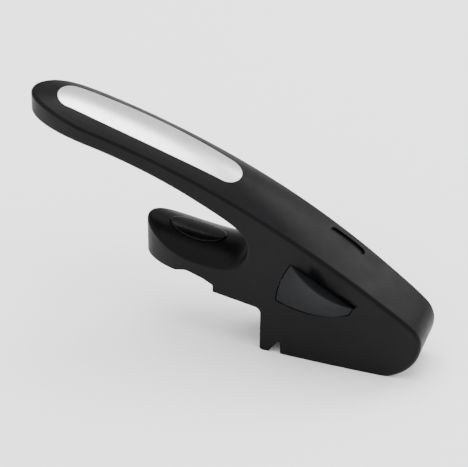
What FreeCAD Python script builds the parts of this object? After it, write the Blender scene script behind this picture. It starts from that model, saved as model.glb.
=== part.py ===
import FreeCAD, Part
import math
import os
from FreeCAD import Vector

# Cordless can opener: a curved handle that runs into a deep head, with a short
# fixed arm under the handle. Millimetres. X runs from the handle (-X) to the
# head (+X), Y from the release lever's side (-Y) to the screwed cover (+Y).
# The origin is the centre of the flat base face, and the mid-plane is Y = 0.

# ---- overall shape -------------------------------------------------------
base_length = 57.0        # flat base face
handle_reach = 163.5      # origin to the handle's end
tip_reach = 43.3          # origin to the head's rounded end
grip_width = 31.0         # handle and arm
tip_width = 25.0          # head at its rounded end
taper_start = -40.0       # where the sides start to draw in
wall = 2.0
edge_round = 2.0          # top edge of the handle and head
rim_round = 2.0           # edges of the arm's top and the handle's underside
handle_round = 34.0       # length of the handle's half-oval end, seen from above
arm_round = 30.0          # length of the arm's half-oval end

# Top of the body: one long arc, then two tighter ones round the head's end.
spine_radius = 403.0
end_height = 23.5         # height of the widest point of the rounded end
upper_end_radius = 13.7
lower_end_radius = 26.1
spine_lean = 50.5         # direction of the spine's end, degrees above +X
grip_crown = 5.5          # rise of the mid-plane over the side edge
tip_crown = 0.6
crown_from = -75.0
crown_to = 15.0
droop = 4.0               # how far the crown falls away at the handle's end
droop_length = 33.5

# Finger gap between handle and arm: arm top, round crotch, handle underside.
crotch_radius = 15.9
crotch_x = -62.5
crotch_z = 63.2
under_radius = 234.4
under_lean = 58.4         # direction from the underside's centre to the crotch
arm_radius = 174.6
arm_lean = 268.8          # direction from the arm top's centre to the crotch
arm_crown = 7.75
arm_reach = 103.5

# Lower outline
notch_height = 7.9
notch_width = 6.35
tooth_width = 4.5
heel_height = 27.2        # arm root above the nose
heel_rise = 3.8
step_offset = 35.7        # from the notch wall to the step under the arm
step_height = 5.0
arm_under_height = 40.7
arm_end_height = 38.8

# ---- inlay, recess, button, lever ----------------------------------------
inlay_start = -149.5
inlay_length = 95.0
inlay_end_width = 15.5
inlay_width = 18.4
inlay_depth = 0.6
inlay_proud = 0.25
inlay_round = 0.2
slot_x = -1.7
slot_y = 8.0
slot_length = 17.5
slot_width = 5.2
slot_end_width = 4.6
slot_depth = 1.3

button_x = -77.0
button_length = 30.0
button_width = 13.6
button_gap = 0.35
button_proud = 0.8
button_round = 0.6
button_depth = 3.2
button_travel = 1.5
flange_overlap = 1.6
flange_thickness = 1.2

lever_gap = 0.45
lever_bulge = 5.5
lever_round = 0.5
lever_back = 12.0         # distance of the lever's flat back from the mid-plane
lever_axis_y = -13.4
lever_axis_z = 34.0
lever_swing = 8.0         # degrees
scoop_depth = 1.3
scoop_reach = 8.0

# ---- drive ---------------------------------------------------------------
motor_x = 22.4
motor_radius = 10.05
motor_flat = 15.1
motor_height = 25.0
motor_shaft_radius = 1.0
pad_height = 3.2
plate_thickness = 1.5
plate_low_z = 30.4        # underside of the lower gear plate
plate_gap = 11.7          # between the two gear plates
plate_half_width = 10.4
axle_radius = 1.0
running_gap = 0.05
spindle_radius = 2.5
bush_wall = 0.6
bush_flange = 0.6
wheel_radius = 4.2
wheel_height = 5.0
wheel_teeth = 24
backlash = 0.10
fine_module = 0.5
mid_module = 0.6
coarse_module = 0.8
motor_pinion_teeth = 10
first_gear_teeth = 36
first_pinion_teeth = 10
second_gear_teeth = 34
second_pinion_teeth = 11
idler_teeth = 22
output_teeth = 23

cutter_radius = 7.0
cutter_thickness = 1.0
cutter_bite = 0.2         # cutter edge past the notch wall
carriage_travel = 2.0
carriage_length = 13.0
carriage_half_width = 8.0
rod_radius = 1.25
rod_spread = 12.0
rod_z = 10.5
bracket_thickness = 1.5

# ---- cells and fasteners -------------------------------------------------
cell_radius = 5.25
cell_length = 44.5
cell_gap = 0.2
cover_thickness = 1.5
cover_gap = 0.15
bay_width = 15.0
screw_radius = 1.0
head_radius = 2.1
head_height = 1.4
boss_radius = 2.6

# ---- places that follow from the sizes -----------------------------------
half = grip_width / 2
notch_x = -base_length / 2
tooth_x = notch_x - notch_width
nose_x = tooth_x - tooth_width
nose_floor = notch_height + wall
step_x = notch_x - step_offset
step_z = heel_height + heel_rise
handle_centre_x = handle_round - handle_reach
arm_centre_x = arm_round - arm_reach


def polar(centre, radius, degrees):
    turn = math.radians(degrees)
    return (centre[0] + radius * math.cos(turn), centre[1] + radius * math.sin(turn))


def smooth(t):
    t = max(0.0, min(1.0, t))
    return t * t * (3 - 2 * t)


upper_end_centre = (tip_reach - upper_end_radius, end_height)
lower_end_centre = (tip_reach - lower_end_radius, end_height)
spine_centre = polar(upper_end_centre, upper_end_radius - spine_radius, spine_lean)
crotch_centre = (crotch_x, crotch_z)
under_centre = polar(crotch_centre, crotch_radius - under_radius, under_lean)
arm_centre = polar(crotch_centre, crotch_radius - arm_radius, arm_lean)


def spine_height(x):
    return spine_centre[1] + math.sqrt(spine_radius ** 2 - (x - spine_centre[0]) ** 2)


def half_width(x):
    reach = tip_reach - taper_start
    side_radius = reach ** 2 / (grip_width - tip_width)
    drawn = max(0.0, x - taper_start)
    return half - side_radius + math.sqrt(side_radius ** 2 - drawn ** 2)


# ---- helpers --------------------------------------------------------------
def box(x0, x1, y0, y1, z0, z1):
    return Part.makeBox(x1 - x0, y1 - y0, z1 - z0, Vector(x0, y0, z0))


def post(x, y, z0, z1, radius):
    return Part.makeCylinder(radius, z1 - z0, Vector(x, y, z0), Vector(0, 0, 1))


def rod(start, end, radius):
    line = Vector(*end) - Vector(*start)
    return Part.makeCylinder(radius, line.Length, Vector(*start), line)


def fuse(shapes):
    whole = shapes[0]
    if len(shapes) > 1:
        whole = whole.multiFuse(shapes[1:])
    return whole.removeSplitter()


def prism_z(wire, z0, z1):
    low = wire.copy()
    low.translate(Vector(0, 0, z0))
    return Part.Face(low).extrude(Vector(0, 0, z1 - z0))


def prism_y(wire, y0, y1):
    near = wire.copy()
    near.translate(Vector(0, y0, 0))
    return Part.Face(near).extrude(Vector(0, y1 - y0, 0))


def rounded_outline(corners):
    """Closed XZ wire through (x, z, radius) corners."""
    count = len(corners)
    ends = []
    edges = []
    for i, (x, z, radius) in enumerate(corners):
        here = Vector(x, 0, z)
        before = Vector(corners[i - 1][0], 0, corners[i - 1][1]) - here
        after = Vector(corners[(i + 1) % count][0], 0, corners[(i + 1) % count][1]) - here
        if radius == 0:
            ends.append((here, here))
            continue
        before.normalize()
        after.normalize()
        half_angle = before.getAngle(after) / 2
        run = radius / math.tan(half_angle)
        bisector = before + after
        bisector.normalize()
        middle = here + bisector * (radius / math.sin(half_angle) - radius)
        start = here + before * run
        end = here + after * run
        ends.append((start, end))
        edges.append(Part.Arc(start, middle, end).toShape())
    for i in range(count):
        start = ends[i - 1][1]
        end = ends[i][0]
        if (end - start).Length > 1e-6:
            edges.append(Part.makeLine(start, end))
    return Part.Wire(Part.__sortEdges__(edges))


def oval_outline(centre_x, centre_y, length, width, end_width, grow):
    """Closed XY wire: two round ends joined by slightly swelling sides."""
    end = end_width / 2 + grow
    side = width / 2 + grow
    left = centre_x - length / 2 + end_width / 2
    right = centre_x + length / 2 - end_width / 2
    tips = [Vector(left - end, centre_y, 0), Vector(right + end, centre_y, 0)]
    low = [Vector(left, centre_y - end, 0), Vector(right, centre_y - end, 0)]
    high = [Vector(left, centre_y + end, 0), Vector(right, centre_y + end, 0)]
    edges = [Part.Arc(low[0], tips[0], high[0]).toShape()]
    edges.append(Part.Arc(high[0], Vector(centre_x, centre_y + side, 0), high[1]).toShape())
    edges.append(Part.Arc(high[1], tips[1], low[1]).toShape())
    edges.append(Part.Arc(low[1], Vector(centre_x, centre_y - side, 0), low[0]).toShape())
    return Part.Wire(edges)


def ellipse_prism(centre_x, length, width, grow, z0, z1):
    major = length / 2 + grow
    minor = width / 2 + grow
    curve = Part.Ellipse(Vector(centre_x, 0, z0), major, minor)
    return Part.Face(Part.Wire([curve.toShape()])).extrude(Vector(0, 0, z1 - z0))


def coil(start, direction, length, radius, wire_radius, turns):
    helix = Part.makeHelix(length / turns, length, radius)
    ring = Part.Circle(Vector(radius, 0, 0), Vector(0, 1, 0), wire_radius)
    section = Part.Wire([ring.toShape()])
    solid = Part.Wire(helix.Edges).makePipeShell([section], True, True)
    solid.Placement = FreeCAD.Placement(Vector(*start), FreeCAD.Rotation(Vector(0, 0, 1), direction))
    return solid


def save(name, shape):
    shape.exportStep("parts/" + name + ".step")


# ---- outer form -----------------------------------------------------------
def swept_points(arcs, y, crown_factor):
    """Points of one section's long curve; each arc gives its own crown."""
    points = []
    for index, (centre, radius, start, end, steps, crown) in enumerate(arcs):
        for step in range(0 if index == 0 else 1, steps + 1):
            turn = start + (end - start) * step / steps
            x, z = polar(centre, radius, turn)
            lift = crown(x, turn) * crown_factor
            points.append(Vector(x, y, z + lift))
    return points


def section_wire(points, corners):
    curve = Part.BSplineCurve()
    curve.interpolate(points)
    loop = [points[-1]] + corners + [points[0]]
    edges = [curve.toShape()]
    for a, b in zip(loop, loop[1:]):
        edges.append(Part.makeLine(a, b))
    return Part.Wire(edges)


def station_ys():
    return [half * k / 2.5 for k in range(-3, 4)]


def spine_crown(x, turn):
    fade = smooth((x - crown_from) / (crown_to - crown_from))
    near_end = min(1.0, max(0.0, (droop_length - handle_reach - x) / droop_length))
    return grip_crown + (tip_crown - grip_crown) * fade - droop * near_end ** 3


def end_crown(x, turn):
    return tip_crown * max(0.0, turn) / spine_lean


def under_top(inset):
    """Everything below the spine and inside the head's rounded end."""
    far = -handle_reach - half
    start = math.degrees(math.acos((far - spine_centre[0]) / (spine_radius - inset)))
    arcs = [(spine_centre, spine_radius - inset, start, spine_lean, 14, spine_crown)]
    arcs.append((upper_end_centre, upper_end_radius - inset, spine_lean, 0, 5, end_crown))
    arcs.append((lower_end_centre, lower_end_radius - inset, 0, -75, 6, end_crown))
    wires = []
    for y in station_ys():
        points = swept_points(arcs, y, 1 - (y / half) ** 2)
        low = Vector(points[-1].x, y, -half)
        back = Vector(points[0].x, y, -half)
        wires.append(section_wire(points, [low, back]))
    return Part.makeLoft(wires, True, False)


def finger_gap(grow):
    """The open space between handle and arm, grown into the walls by grow."""
    far = -handle_reach - half
    arm_start = 360 - math.degrees(math.acos((-arm_reach - half - arm_centre[0]) / (arm_radius + grow)))
    under_end = math.degrees(math.acos((far - under_centre[0]) / (under_radius + grow)))

    def on_arm(x, turn):
        return arm_crown

    def on_crotch(x, turn):
        return arm_crown * (1 - smooth((turn + 90) / 75))

    def on_handle(x, turn):
        return 0.0

    arcs = [(arm_centre, arm_radius + grow, arm_start, arm_lean, 7, on_arm)]
    arcs.append((crotch_centre, crotch_radius + grow, arm_lean - 360, under_lean, 9, on_crotch))
    arcs.append((under_centre, under_radius + grow, under_lean, under_end, 9, on_handle))
    wires = []
    for y in station_ys():
        points = swept_points(arcs, y, 1 - (y / half) ** 2)
        high = Vector(far - 2 * half, y, points[-1].z)
        low = Vector(far - 2 * half, y, points[0].z)
        wires.append(section_wire(points, [high, low]))
    return Part.makeLoft(wires, True, False)


def plan_form(inset):
    """Seen from above: parallel sides, a half-oval handle end and a drawn-in head."""
    side = half - inset
    right = tip_reach + half
    middle = (taper_start + right) / 2
    start = Vector(taper_start, -side, 0)
    end = Vector(taper_start, side, 0)
    left = [Vector(handle_centre_x, -side, 0), Vector(handle_centre_x, side, 0)]
    oval = Part.Ellipse(Vector(handle_centre_x, 0, 0), handle_round - inset, side)
    far = [Vector(right, half_width(right) - inset, 0), Vector(right, inset - half_width(right), 0)]
    mid = [Vector(middle, half_width(middle) - inset, 0), Vector(middle, inset - half_width(middle), 0)]
    edges = [Part.makeLine(start, left[0])]
    edges.append(Part.ArcOfEllipse(oval, math.pi / 2, 3 * math.pi / 2).toShape())
    edges.append(Part.makeLine(left[1], end))
    edges.append(Part.Arc(end, mid[0], far[0]).toShape())
    edges.append(Part.makeLine(far[0], far[1]))
    edges.append(Part.Arc(far[1], mid[1], start).toShape())
    return prism_z(Part.Wire(Part.__sortEdges__(edges)), -half, spine_height(-handle_reach) + 2 * half)


def lower_outline():
    """Side outline of the base, notch, nose and arm underside."""
    right = tip_reach + half
    top = spine_height(-handle_reach) + half
    left = -handle_reach - half
    corners = [(right, 0, 0), (right, top, 0), (left, top, 0), (left, arm_end_height, 0)]
    corners.append((notch_x - 56.0, arm_end_height, 6.0))
    corners.append((notch_x - 50.0, arm_under_height + 0.6, 6.0))
    corners.append((step_x - 5.5, arm_under_height - 2.3, 3.0))
    corners.append((step_x, step_z + step_height - 0.6, 1.5))
    corners.append((step_x, step_z, 0.8))
    corners.append((nose_x + 0.3, heel_height, 3.5))
    corners.append((nose_x, 0, 1.2))
    corners.append((tooth_x, 0, 0.3))
    corners.append((notch_x - 1.0, notch_height, 0.4))
    corners.append((notch_x, notch_height, 0))
    corners.append((notch_x, 0, 0))
    return prism_y(rounded_outline(corners), -2 * half, 2 * half)


def lower_cavity():
    """The same outline moved in by the wall, with the nose left solid."""
    right = tip_reach + half
    top = spine_height(-handle_reach) + half
    left = -handle_reach - half
    corners = [(right, wall, 0), (right, top, 0), (left, top, 0), (left, arm_end_height + wall, 0)]
    corners.append((notch_x - 56.0, arm_end_height + wall, 0))
    corners.append((notch_x - 50.0, arm_under_height + 0.6 + wall, 0))
    corners.append((step_x - 4.0, arm_under_height - 2.3 + wall, 0))
    corners.append((step_x + wall, step_z + step_height - 0.6 + wall, 0))
    corners.append((step_x + wall, step_z + wall, 0))
    corners.append((nose_x + wall, heel_height + 1.2 * wall, 0))
    corners.append((nose_x + wall, nose_floor, 0))
    corners.append((notch_x + wall, nose_floor, 0))
    corners.append((notch_x + wall, wall, 0))
    return prism_y(rounded_outline(corners), -2 * half, 2 * half)


def arm_end_trim(inset):
    """What has to go so that the arm ends in a half oval, seen from above."""
    low = heel_height - half
    high = arm_under_height + 3 * half
    far = -handle_reach - 2 * half
    block = box(far, arm_centre_x, -2 * half, 2 * half, low, high - half / 2)
    return block.cut(ellipse_prism(arm_centre_x, 2 * arm_round, grip_width, -inset, low - 1, high + 1))


def body_form(inset, lower):
    form = under_top(inset).common(plan_form(inset))
    form = form.common(lower)
    form = form.cut(finger_gap(inset))
    return form.cut(arm_end_trim(inset)).Solids[0]


def middle_of(edge):
    return edge.valueAt((edge.FirstParameter + edge.LastParameter) / 2)


def top_edges(shape):
    chosen = []
    for edge in shape.Edges:
        m = middle_of(edge)
        outside = abs(m.y) > half / 2 or m.x < handle_centre_x
        on_spine = m.x < upper_end_centre[0] and m.z > spine_height(m.x) - wall
        on_end = m.x >= upper_end_centre[0] and m.z > wall
        if outside and (on_spine or on_end):
            chosen.append(edge)
    return chosen


def rim_edges(shape):
    """Edges between the sides and the finger gap's walls."""
    chosen = []
    for edge in shape.Edges:
        m = middle_of(edge)
        on_side = abs(m.y) > half / 2
        on_end = m.x < handle_centre_x or abs(m.x + arm_reach) < wall
        above_underside = m.z > arm_under_height + wall
        below_spine = m.z < spine_height(m.x) - 2 * wall
        if (on_side or on_end) and m.x < taper_start - wall and above_underside and below_spine:
            chosen.append(edge)
    return chosen


def outer_form():
    form = body_form(0.0, lower_outline())
    form = form.makeFillet(edge_round, top_edges(form))
    return form.makeFillet(rim_round, rim_edges(form))



# ---- gears ----------------------------------------------------------------
def involute(turn):
    return math.tan(turn) - turn


def gear(x, z0, z1, module, teeth, tooth_at, bore):
    """Spur gear on a vertical axis, with one tooth centred at tooth_at degrees."""
    pressure = math.radians(20)
    pitch = module * teeth / 2
    base = pitch * math.cos(pressure)
    tip = pitch + 0.9 * module
    root = pitch - 1.2 * module
    half_tooth = math.pi / (2 * teeth) - backlash / (2 * pitch)
    flank = []
    for step in range(6):
        radius = max(base, root) + (tip - max(base, root)) * step / 5
        swing = half_tooth + involute(pressure) - involute(math.acos(base / radius))
        flank.append((radius, swing))
    if root < base:
        flank.insert(0, (root, flank[0][1] * 0.8))
    points = []
    for tooth in range(teeth):
        centre = math.radians(tooth_at) + 2 * math.pi * tooth / teeth
        for radius, swing in flank:
            points.append(polar_point(x, radius, centre - swing, z0))
        for radius, swing in reversed(flank):
            points.append(polar_point(x, radius, centre + swing, z0))
    points.append(points[0])
    body = Part.Face(Part.makePolygon(points)).extrude(Vector(0, 0, z1 - z0))
    return body.cut(post(x, 0, z0 - 1, z1 + 1, bore))


def polar_point(x, radius, turn, z):
    return Vector(x + radius * math.cos(turn), radius * math.sin(turn), z)


# Axes of the gear train, each one centre distance on from the last.
first_x = motor_x - fine_module * (motor_pinion_teeth + first_gear_teeth) / 2
second_x = first_x - mid_module * (first_pinion_teeth + second_gear_teeth) / 2
idler_x = second_x - coarse_module * (second_pinion_teeth + idler_teeth) / 2
spindle_x = idler_x - coarse_module * (idler_teeth + output_teeth) / 2

# Three gear levels between the plates.
plate_low_top = plate_low_z + plate_thickness
plate_high_z = plate_low_top + plate_gap
plate_high_top = plate_high_z + plate_thickness
level_low = (plate_low_top + 0.5, plate_low_top + 3.0)
level_mid = (plate_low_top + 3.5, plate_low_top + 6.0)
level_high = (plate_low_top + 6.7, plate_low_top + 10.7)
gear_bore = axle_radius + running_gap


def hub(x, z0, z1, radius):
    return post(x, 0, z0, z1, radius).cut(post(x, 0, z0 - 1, z1 + 1, gear_bore))


def first_gear():
    wheel = gear(first_x, level_mid[0], level_mid[1], fine_module, first_gear_teeth,
                 180 / first_gear_teeth, gear_bore)
    pinion = gear(first_x, level_low[0], level_mid[0], mid_module, first_pinion_teeth, 0, gear_bore)
    collar = hub(first_x, level_mid[1], plate_high_z - 0.4, 2 * axle_radius)
    return fuse([wheel, pinion, collar])


def second_gear():
    wheel = gear(second_x, level_low[0], level_low[1], mid_module, second_gear_teeth,
                 180 / second_gear_teeth, gear_bore)
    pinion = gear(second_x, level_high[0], level_high[1], coarse_module, second_pinion_teeth, 0,
                  gear_bore)
    collar = hub(second_x, level_low[1], level_high[0], 2.2 * axle_radius)
    return fuse([wheel, collar, pinion])


def idler_gear():
    wheel = gear(idler_x, level_high[0], level_high[1], coarse_module, idler_teeth, 0, gear_bore)
    collar = hub(idler_x, level_low[0], level_high[0], 2.2 * axle_radius)
    return fuse([wheel, collar])


def output_gear():
    turn = 180 / output_teeth
    wheel = gear(spindle_x, level_high[0], level_high[1], coarse_module, output_teeth, turn,
                 spindle_radius)
    collar = post(spindle_x, 0, level_mid[0], level_high[0], 1.6 * spindle_radius)
    return fuse([wheel, collar.cut(post(spindle_x, 0, 0, level_high[0] + 1, spindle_radius))])


def motor_pinion():
    return gear(motor_x, level_low[1], level_mid[1] + 0.6, fine_module, motor_pinion_teeth, 0,
                motor_shaft_radius)


def gear_axles():
    axles = [post(x, 0, plate_low_z, plate_high_top, axle_radius) for x in (first_x, second_x, idler_x)]
    return Part.makeCompound(axles)


# ---- motor ----------------------------------------------------------------
motor_low = wall + pad_height
motor_high = motor_low + motor_height
motor_boss = 3.0


def motor_case():
    can = post(motor_x, 0, motor_low, motor_high, motor_radius)
    flats = box(motor_x - motor_radius, motor_x + motor_radius, -motor_flat / 2, motor_flat / 2,
                motor_low, motor_high)
    boss = post(motor_x, 0, motor_high, plate_low_top - 0.1, motor_boss)
    can = fuse([can.common(flats), boss])
    return can.cut(post(motor_x, 0, motor_low - 1, plate_low_top + 1, motor_shaft_radius + running_gap))


def motor_pad():
    pad = post(motor_x, 0, wall, motor_low, motor_radius / 2)
    return pad.cut(post(motor_x, 0, 0, motor_low + 1, motor_radius / 4))


def motor_shaft():
    return post(motor_x, 0, motor_low + 0.5, level_mid[1] + 1.2, motor_shaft_radius)


# ---- plates, bushes and spindle -------------------------------------------
post_radius = 1.5
tenon_radius = 1.0
posts = [(18.0, 8.9), (18.0, -8.9), (-24.0, 8.9), (-24.0, -8.9)]
chassis_screws = [(-35.0, 10.9), (-35.0, -10.9), (8.9, 9.0), (31.9, 8.6), (31.9, -8.6)]
ear_radius = 2.2
plate_left = spindle_x - 5.5
plate_right = posts[0][0] + 1.6
bush_outer = spindle_radius + running_gap + bush_wall
arm_slot = (-4.6, 0.6)     # along X, where the release arm passes the lower plate
spring_tab_y = 6.5
lever_spring_x = -13.0
lever_spring_z = 50.0


def plate(x0, x1, z0):
    body = box(x0, x1, -plate_half_width, plate_half_width, z0, z0 + plate_thickness)
    for x in (first_x, second_x, idler_x):
        body = body.cut(post(x, 0, z0 - 1, z0 + 5, axle_radius))
    for x, y in posts:
        body = body.cut(post(x, y, z0 - 1, z0 + 5, tenon_radius))
    return body.cut(post(spindle_x, 0, z0 - 1, z0 + 5, bush_outer))


def lower_plate():
    body = plate(plate_left, motor_x + motor_radius + 2.0, plate_low_z)
    ears = [post(x, y, plate_low_z, plate_low_top, ear_radius) for x, y in chassis_screws]
    body = fuse([body] + ears)
    for x, y in chassis_screws:
        body = body.cut(post(x, y, 0, plate_low_top + 1, screw_radius))
    body = body.cut(post(motor_x, 0, 0, plate_low_top + 1, motor_boss))
    return body.cut(box(arm_slot[0], arm_slot[1], -half, 0.4 - plate_half_width, 0, plate_low_top + 1))


def upper_plate():
    body = plate(plate_left, plate_right, plate_high_z)
    low = lever_spring_x - 3.0
    high = lever_spring_x + 3.0
    window = box(low - 0.5, high + 0.5, -half, 1 - spring_tab_y, plate_high_z - 1, plate_high_top + 1)
    tab = box(low, high, -spring_tab_y, 1 - spring_tab_y, plate_high_z, lever_spring_z + 3.0)
    body = body.cut(window)
    return fuse([body, tab, box(low, high, 1 - spring_tab_y, 1.6 - spring_tab_y, plate_high_z,
                                plate_high_top)])


def plate_posts():
    made = []
    for x, y in posts:
        column = post(x, y, plate_low_top, plate_high_z, post_radius)
        tenon = post(x, y, plate_low_z, plate_high_top, tenon_radius)
        made.append(fuse([column, tenon]))
    return Part.makeCompound(made)


def flanged_bush(z0, z1, flange_z0, flange_z1, outer_radius):
    bush = fuse([post(spindle_x, 0, z0, z1, outer_radius),
                 post(spindle_x, 0, flange_z0, flange_z1, outer_radius + bush_flange)])
    return bush.cut(post(spindle_x, 0, z0 - 5, z1 + 5, spindle_radius + running_gap))


def spindle_bushes():
    low = flanged_bush(notch_height - 0.5, nose_floor, nose_floor, nose_floor + 1.0, bush_outer)
    middle = flanged_bush(plate_low_z, plate_low_top, plate_low_top, plate_low_top + 1.0, bush_outer)
    top = flanged_bush(plate_high_z, plate_high_top, plate_high_top, plate_high_top + 1.0, bush_outer)
    return Part.makeCompound([low, middle, top])


wheel_low = 1.2
wheel_high = wheel_low + wheel_height


def drive_spindle():
    return post(spindle_x, 0, wheel_low - 0.4, plate_high_top + 2.0, spindle_radius)


def traction_wheel():
    body = post(spindle_x, 0, wheel_low, wheel_high, wheel_radius)
    for tooth in range(wheel_teeth):
        turn = 2 * math.pi * tooth / wheel_teeth
        groove = polar_point(spindle_x, wheel_radius + 0.15, turn, wheel_low - 1)
        body = body.cut(Part.makeCylinder(0.4, wheel_height + 2, groove))
    return body.cut(post(spindle_x, 0, 0, wheel_high + 1, spindle_radius))


# ---- cutter ---------------------------------------------------------------
cutter_x = notch_x - cutter_bite + cutter_radius
cutter_z = 3.7
cutter_axle_radius = 1.5
carriage_x = notch_x + wall + 0.4
carriage_low = 6.2
carriage_high = 13.2
bracket_x = carriage_x + carriage_length + 7.0
tongue_z = (11.4, 12.6)
wedge_x = 3.4


def cutter_wheel():
    top = cutter_z + cutter_thickness
    bevel = Part.makeCone(cutter_radius - 1.8, cutter_radius, cutter_thickness,
                          Vector(cutter_x, 0, cutter_z))
    rim = post(cutter_x, 0, top - 0.05, top, cutter_radius)
    hub_top = post(cutter_x, 0, top, top + 0.6, 2 * cutter_axle_radius)
    disc = fuse([bevel, rim, hub_top])
    return disc.cut(post(cutter_x, 0, 0, top + 5, cutter_axle_radius + running_gap))


def cutter_axle():
    head = post(cutter_x, 0, cutter_z - 1.2, cutter_z - 0.15, 1.8 * cutter_axle_radius)
    return fuse([head, post(cutter_x, 0, cutter_z - 1.2, carriage_high, cutter_axle_radius)])


def cutter_carriage():
    block = box(carriage_x, carriage_x + carriage_length, -carriage_half_width, carriage_half_width,
                carriage_low, carriage_high)
    for y in (-rod_spread / 2, rod_spread / 2):
        block = block.cut(rod((notch_x, y, rod_z), (tip_reach, y, rod_z), rod_radius + running_gap))
    block = block.cut(post(cutter_x, 0, 0, carriage_high + 1, cutter_axle_radius))
    corners = [e for e in block.Edges
               if abs(e.tangentAt(e.FirstParameter).z) > 0.9
               and abs(middle_of(e).y) > carriage_half_width - 0.1]
    return block.makeFillet(1.0, corners)


def guide_rods():
    rods = []
    for y in (-rod_spread / 2, rod_spread / 2):
        rods.append(rod((notch_x + wall / 2, y, rod_z), (bracket_x + bracket_thickness, y, rod_z),
                        rod_radius))
    return Part.makeCompound(rods)


def guide_bracket():
    high = carriage_high + 1.0
    side = carriage_half_width + 1.5
    upright = box(bracket_x, bracket_x + bracket_thickness, -side, side, wall, high)
    upright = upright.cut(box(bracket_x - 1, bracket_x + 5, -2.6, 2.6, tongue_z[0] - 0.5, high + 1))
    for y in (-rod_spread / 2, rod_spread / 2):
        upright = upright.cut(rod((bracket_x - 1, y, rod_z), (bracket_x + 5, y, rod_z), rod_radius))
    foot = box(bracket_x, bracket_x + 6.0, -side, side, wall, wall + bracket_thickness)
    return fuse([upright, foot])


def wedge_slope():
    """Slide per millimetre that the release arm's foot swings."""
    return carriage_travel / (math.radians(lever_swing) * (lever_axis_z - (tongue_z[0] + tongue_z[1]) / 2))


def release_tongue():
    """Flat strip from the carriage, with a slanted end that the foot pushes."""
    start = carriage_x + carriage_length
    slope = wedge_slope()
    end_x = wedge_x + 2.7
    end_y = -9.0
    outline = [(start, 2.0), (start, -1.0), (wedge_x + slope * 3.0, -1.0)]
    outline.append((wedge_x + slope * (end_y + 4.0), end_y))
    outline.append((end_x, end_y))
    outline.append((end_x, 2.0))
    wire = Part.makePolygon([Vector(x, y, tongue_z[0]) for x, y in outline + outline[:1]])
    return Part.Face(wire).extrude(Vector(0, 0, tongue_z[1] - tongue_z[0]))


def carriage_springs():
    start = carriage_x + carriage_length + 0.4
    length = bracket_x - start - 0.4
    coils = []
    for y in (-rod_spread / 2, rod_spread / 2):
        coils.append(coil((start, y, rod_z), Vector(1, 0, 0), length, rod_radius + 0.75, 0.25, 6))
    return Part.makeCompound(coils)


# ---- release lever --------------------------------------------------------
lever_top = (-23.5, 61.5)
lever_right = (9.0, 41.0)
lever_foot = (7.0, 36.0)
lever_low = (-12.0, 31.0)
lever_left = (-31.5, 35.5)
lever_side = (-28.9, 49.0)
pin_radius = 0.8
pin_ends = (-29.5, 5.0)
lug_width = 2.6
strip_thickness = 0.8
strip_x = (-3.9, -0.3)


def lever_outline(grow):
    def at(p):
        return Vector(p[0], 0, p[1])
    edges = [Part.makeLine(at(lever_top), at(lever_right))]
    edges.append(Part.makeLine(at(lever_right), at(lever_foot)))
    edges.append(Part.Arc(at(lever_foot), at(lever_low), at(lever_left)).toShape())
    edges.append(Part.Arc(at(lever_left), at(lever_side), at(lever_top)).toShape())
    wire = Part.Wire(edges)
    if grow:
        wire = Part.Face(wire).makeOffset2D(grow).Wires[0]
    return wire


def lever_front(x, z):
    """How far the lever's face stands from the mid-plane."""
    run = Vector(lever_right[0] - lever_top[0], lever_right[1] - lever_top[1], 0)
    length = run.Length
    run.normalize()
    from_top = Vector(x - lever_top[0], z - lever_top[1], 0)
    along = 2 * from_top.dot(run) / length - 1
    down = from_top.cross(run).z
    fade = 1 - down / 24.0
    return half_width(x) + lever_bulge * fade ** 2 * (1 - along ** 2)


def release_lever():
    xs = [lever_left[0] - 4 + (lever_right[0] - lever_left[0] + 8) * k / 11 for k in range(12)]
    zs = [lever_low[1] - 4 + (lever_top[1] - lever_low[1] + 8) * k / 9 for k in range(10)]
    surface = Part.BSplineSurface()
    surface.interpolate([[Vector(x, -lever_front(x, z), z) for z in zs] for x in xs])
    bulk = surface.toShape().extrude(Vector(0, grip_width, 0))
    body = prism_y(lever_outline(-lever_gap), -grip_width, -lever_back).common(bulk)
    body = body.cut(rod((-grip_width * 2, lever_axis_y, lever_axis_z),
                        (grip_width, lever_axis_y, lever_axis_z), pin_radius + running_gap))
    rim = [e for e in body.Edges if abs(middle_of(e).y + lever_front(middle_of(e).x,
                                                                     middle_of(e).z)) < 0.05]
    return body.Solids[0].makeFillet(lever_round, rim)


def lever_pin():
    return rod((pin_ends[0], lever_axis_y, lever_axis_z), (pin_ends[1], lever_axis_y, lever_axis_z),
               pin_radius)


def release_arm():
    """Thin strip on the lever's back, down to a foot level with the tongue."""
    back = -lever_back
    low_y = back + 3.7
    low_z = tongue_z[0] - 0.8
    outline = [(back, 41.0), (back, 31.5), (low_y, low_z)]
    outline += [(low_y + strip_thickness, low_z), (back + strip_thickness, 31.5),
                (back + strip_thickness, 41.0)]
    wire = Part.makePolygon([Vector(strip_x[0], y, z) for y, z in outline + outline[:1]])
    strip = Part.Face(wire).extrude(Vector(strip_x[1] - strip_x[0], 0, 0))
    slope = wedge_slope()
    face = wedge_x - 0.3 + slope * 4.0
    near = low_y + 0.1
    far = low_y + 3.0
    plan = [(strip_x[0], near), (face + slope * near, near), (face + slope * far, far),
            (strip_x[0], far)]
    wire = Part.makePolygon([Vector(x, y, low_z) for x, y in plan + plan[:1]])
    foot = Part.Face(wire).extrude(Vector(0, 0, 3.0))
    return fuse([strip, foot])


def lever_spring():
    length = lever_back - spring_tab_y - 0.5
    return coil((lever_spring_x, 0.25 - lever_back, lever_spring_z), Vector(0, 1, 0), length, 2.0,
                0.25, 5)


# ---- start button ---------------------------------------------------------
def arm_height(x):
    """Arm's top at its side edge."""
    return arm_centre[1] - math.sqrt(arm_radius ** 2 - (x - arm_centre[0]) ** 2)


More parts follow.
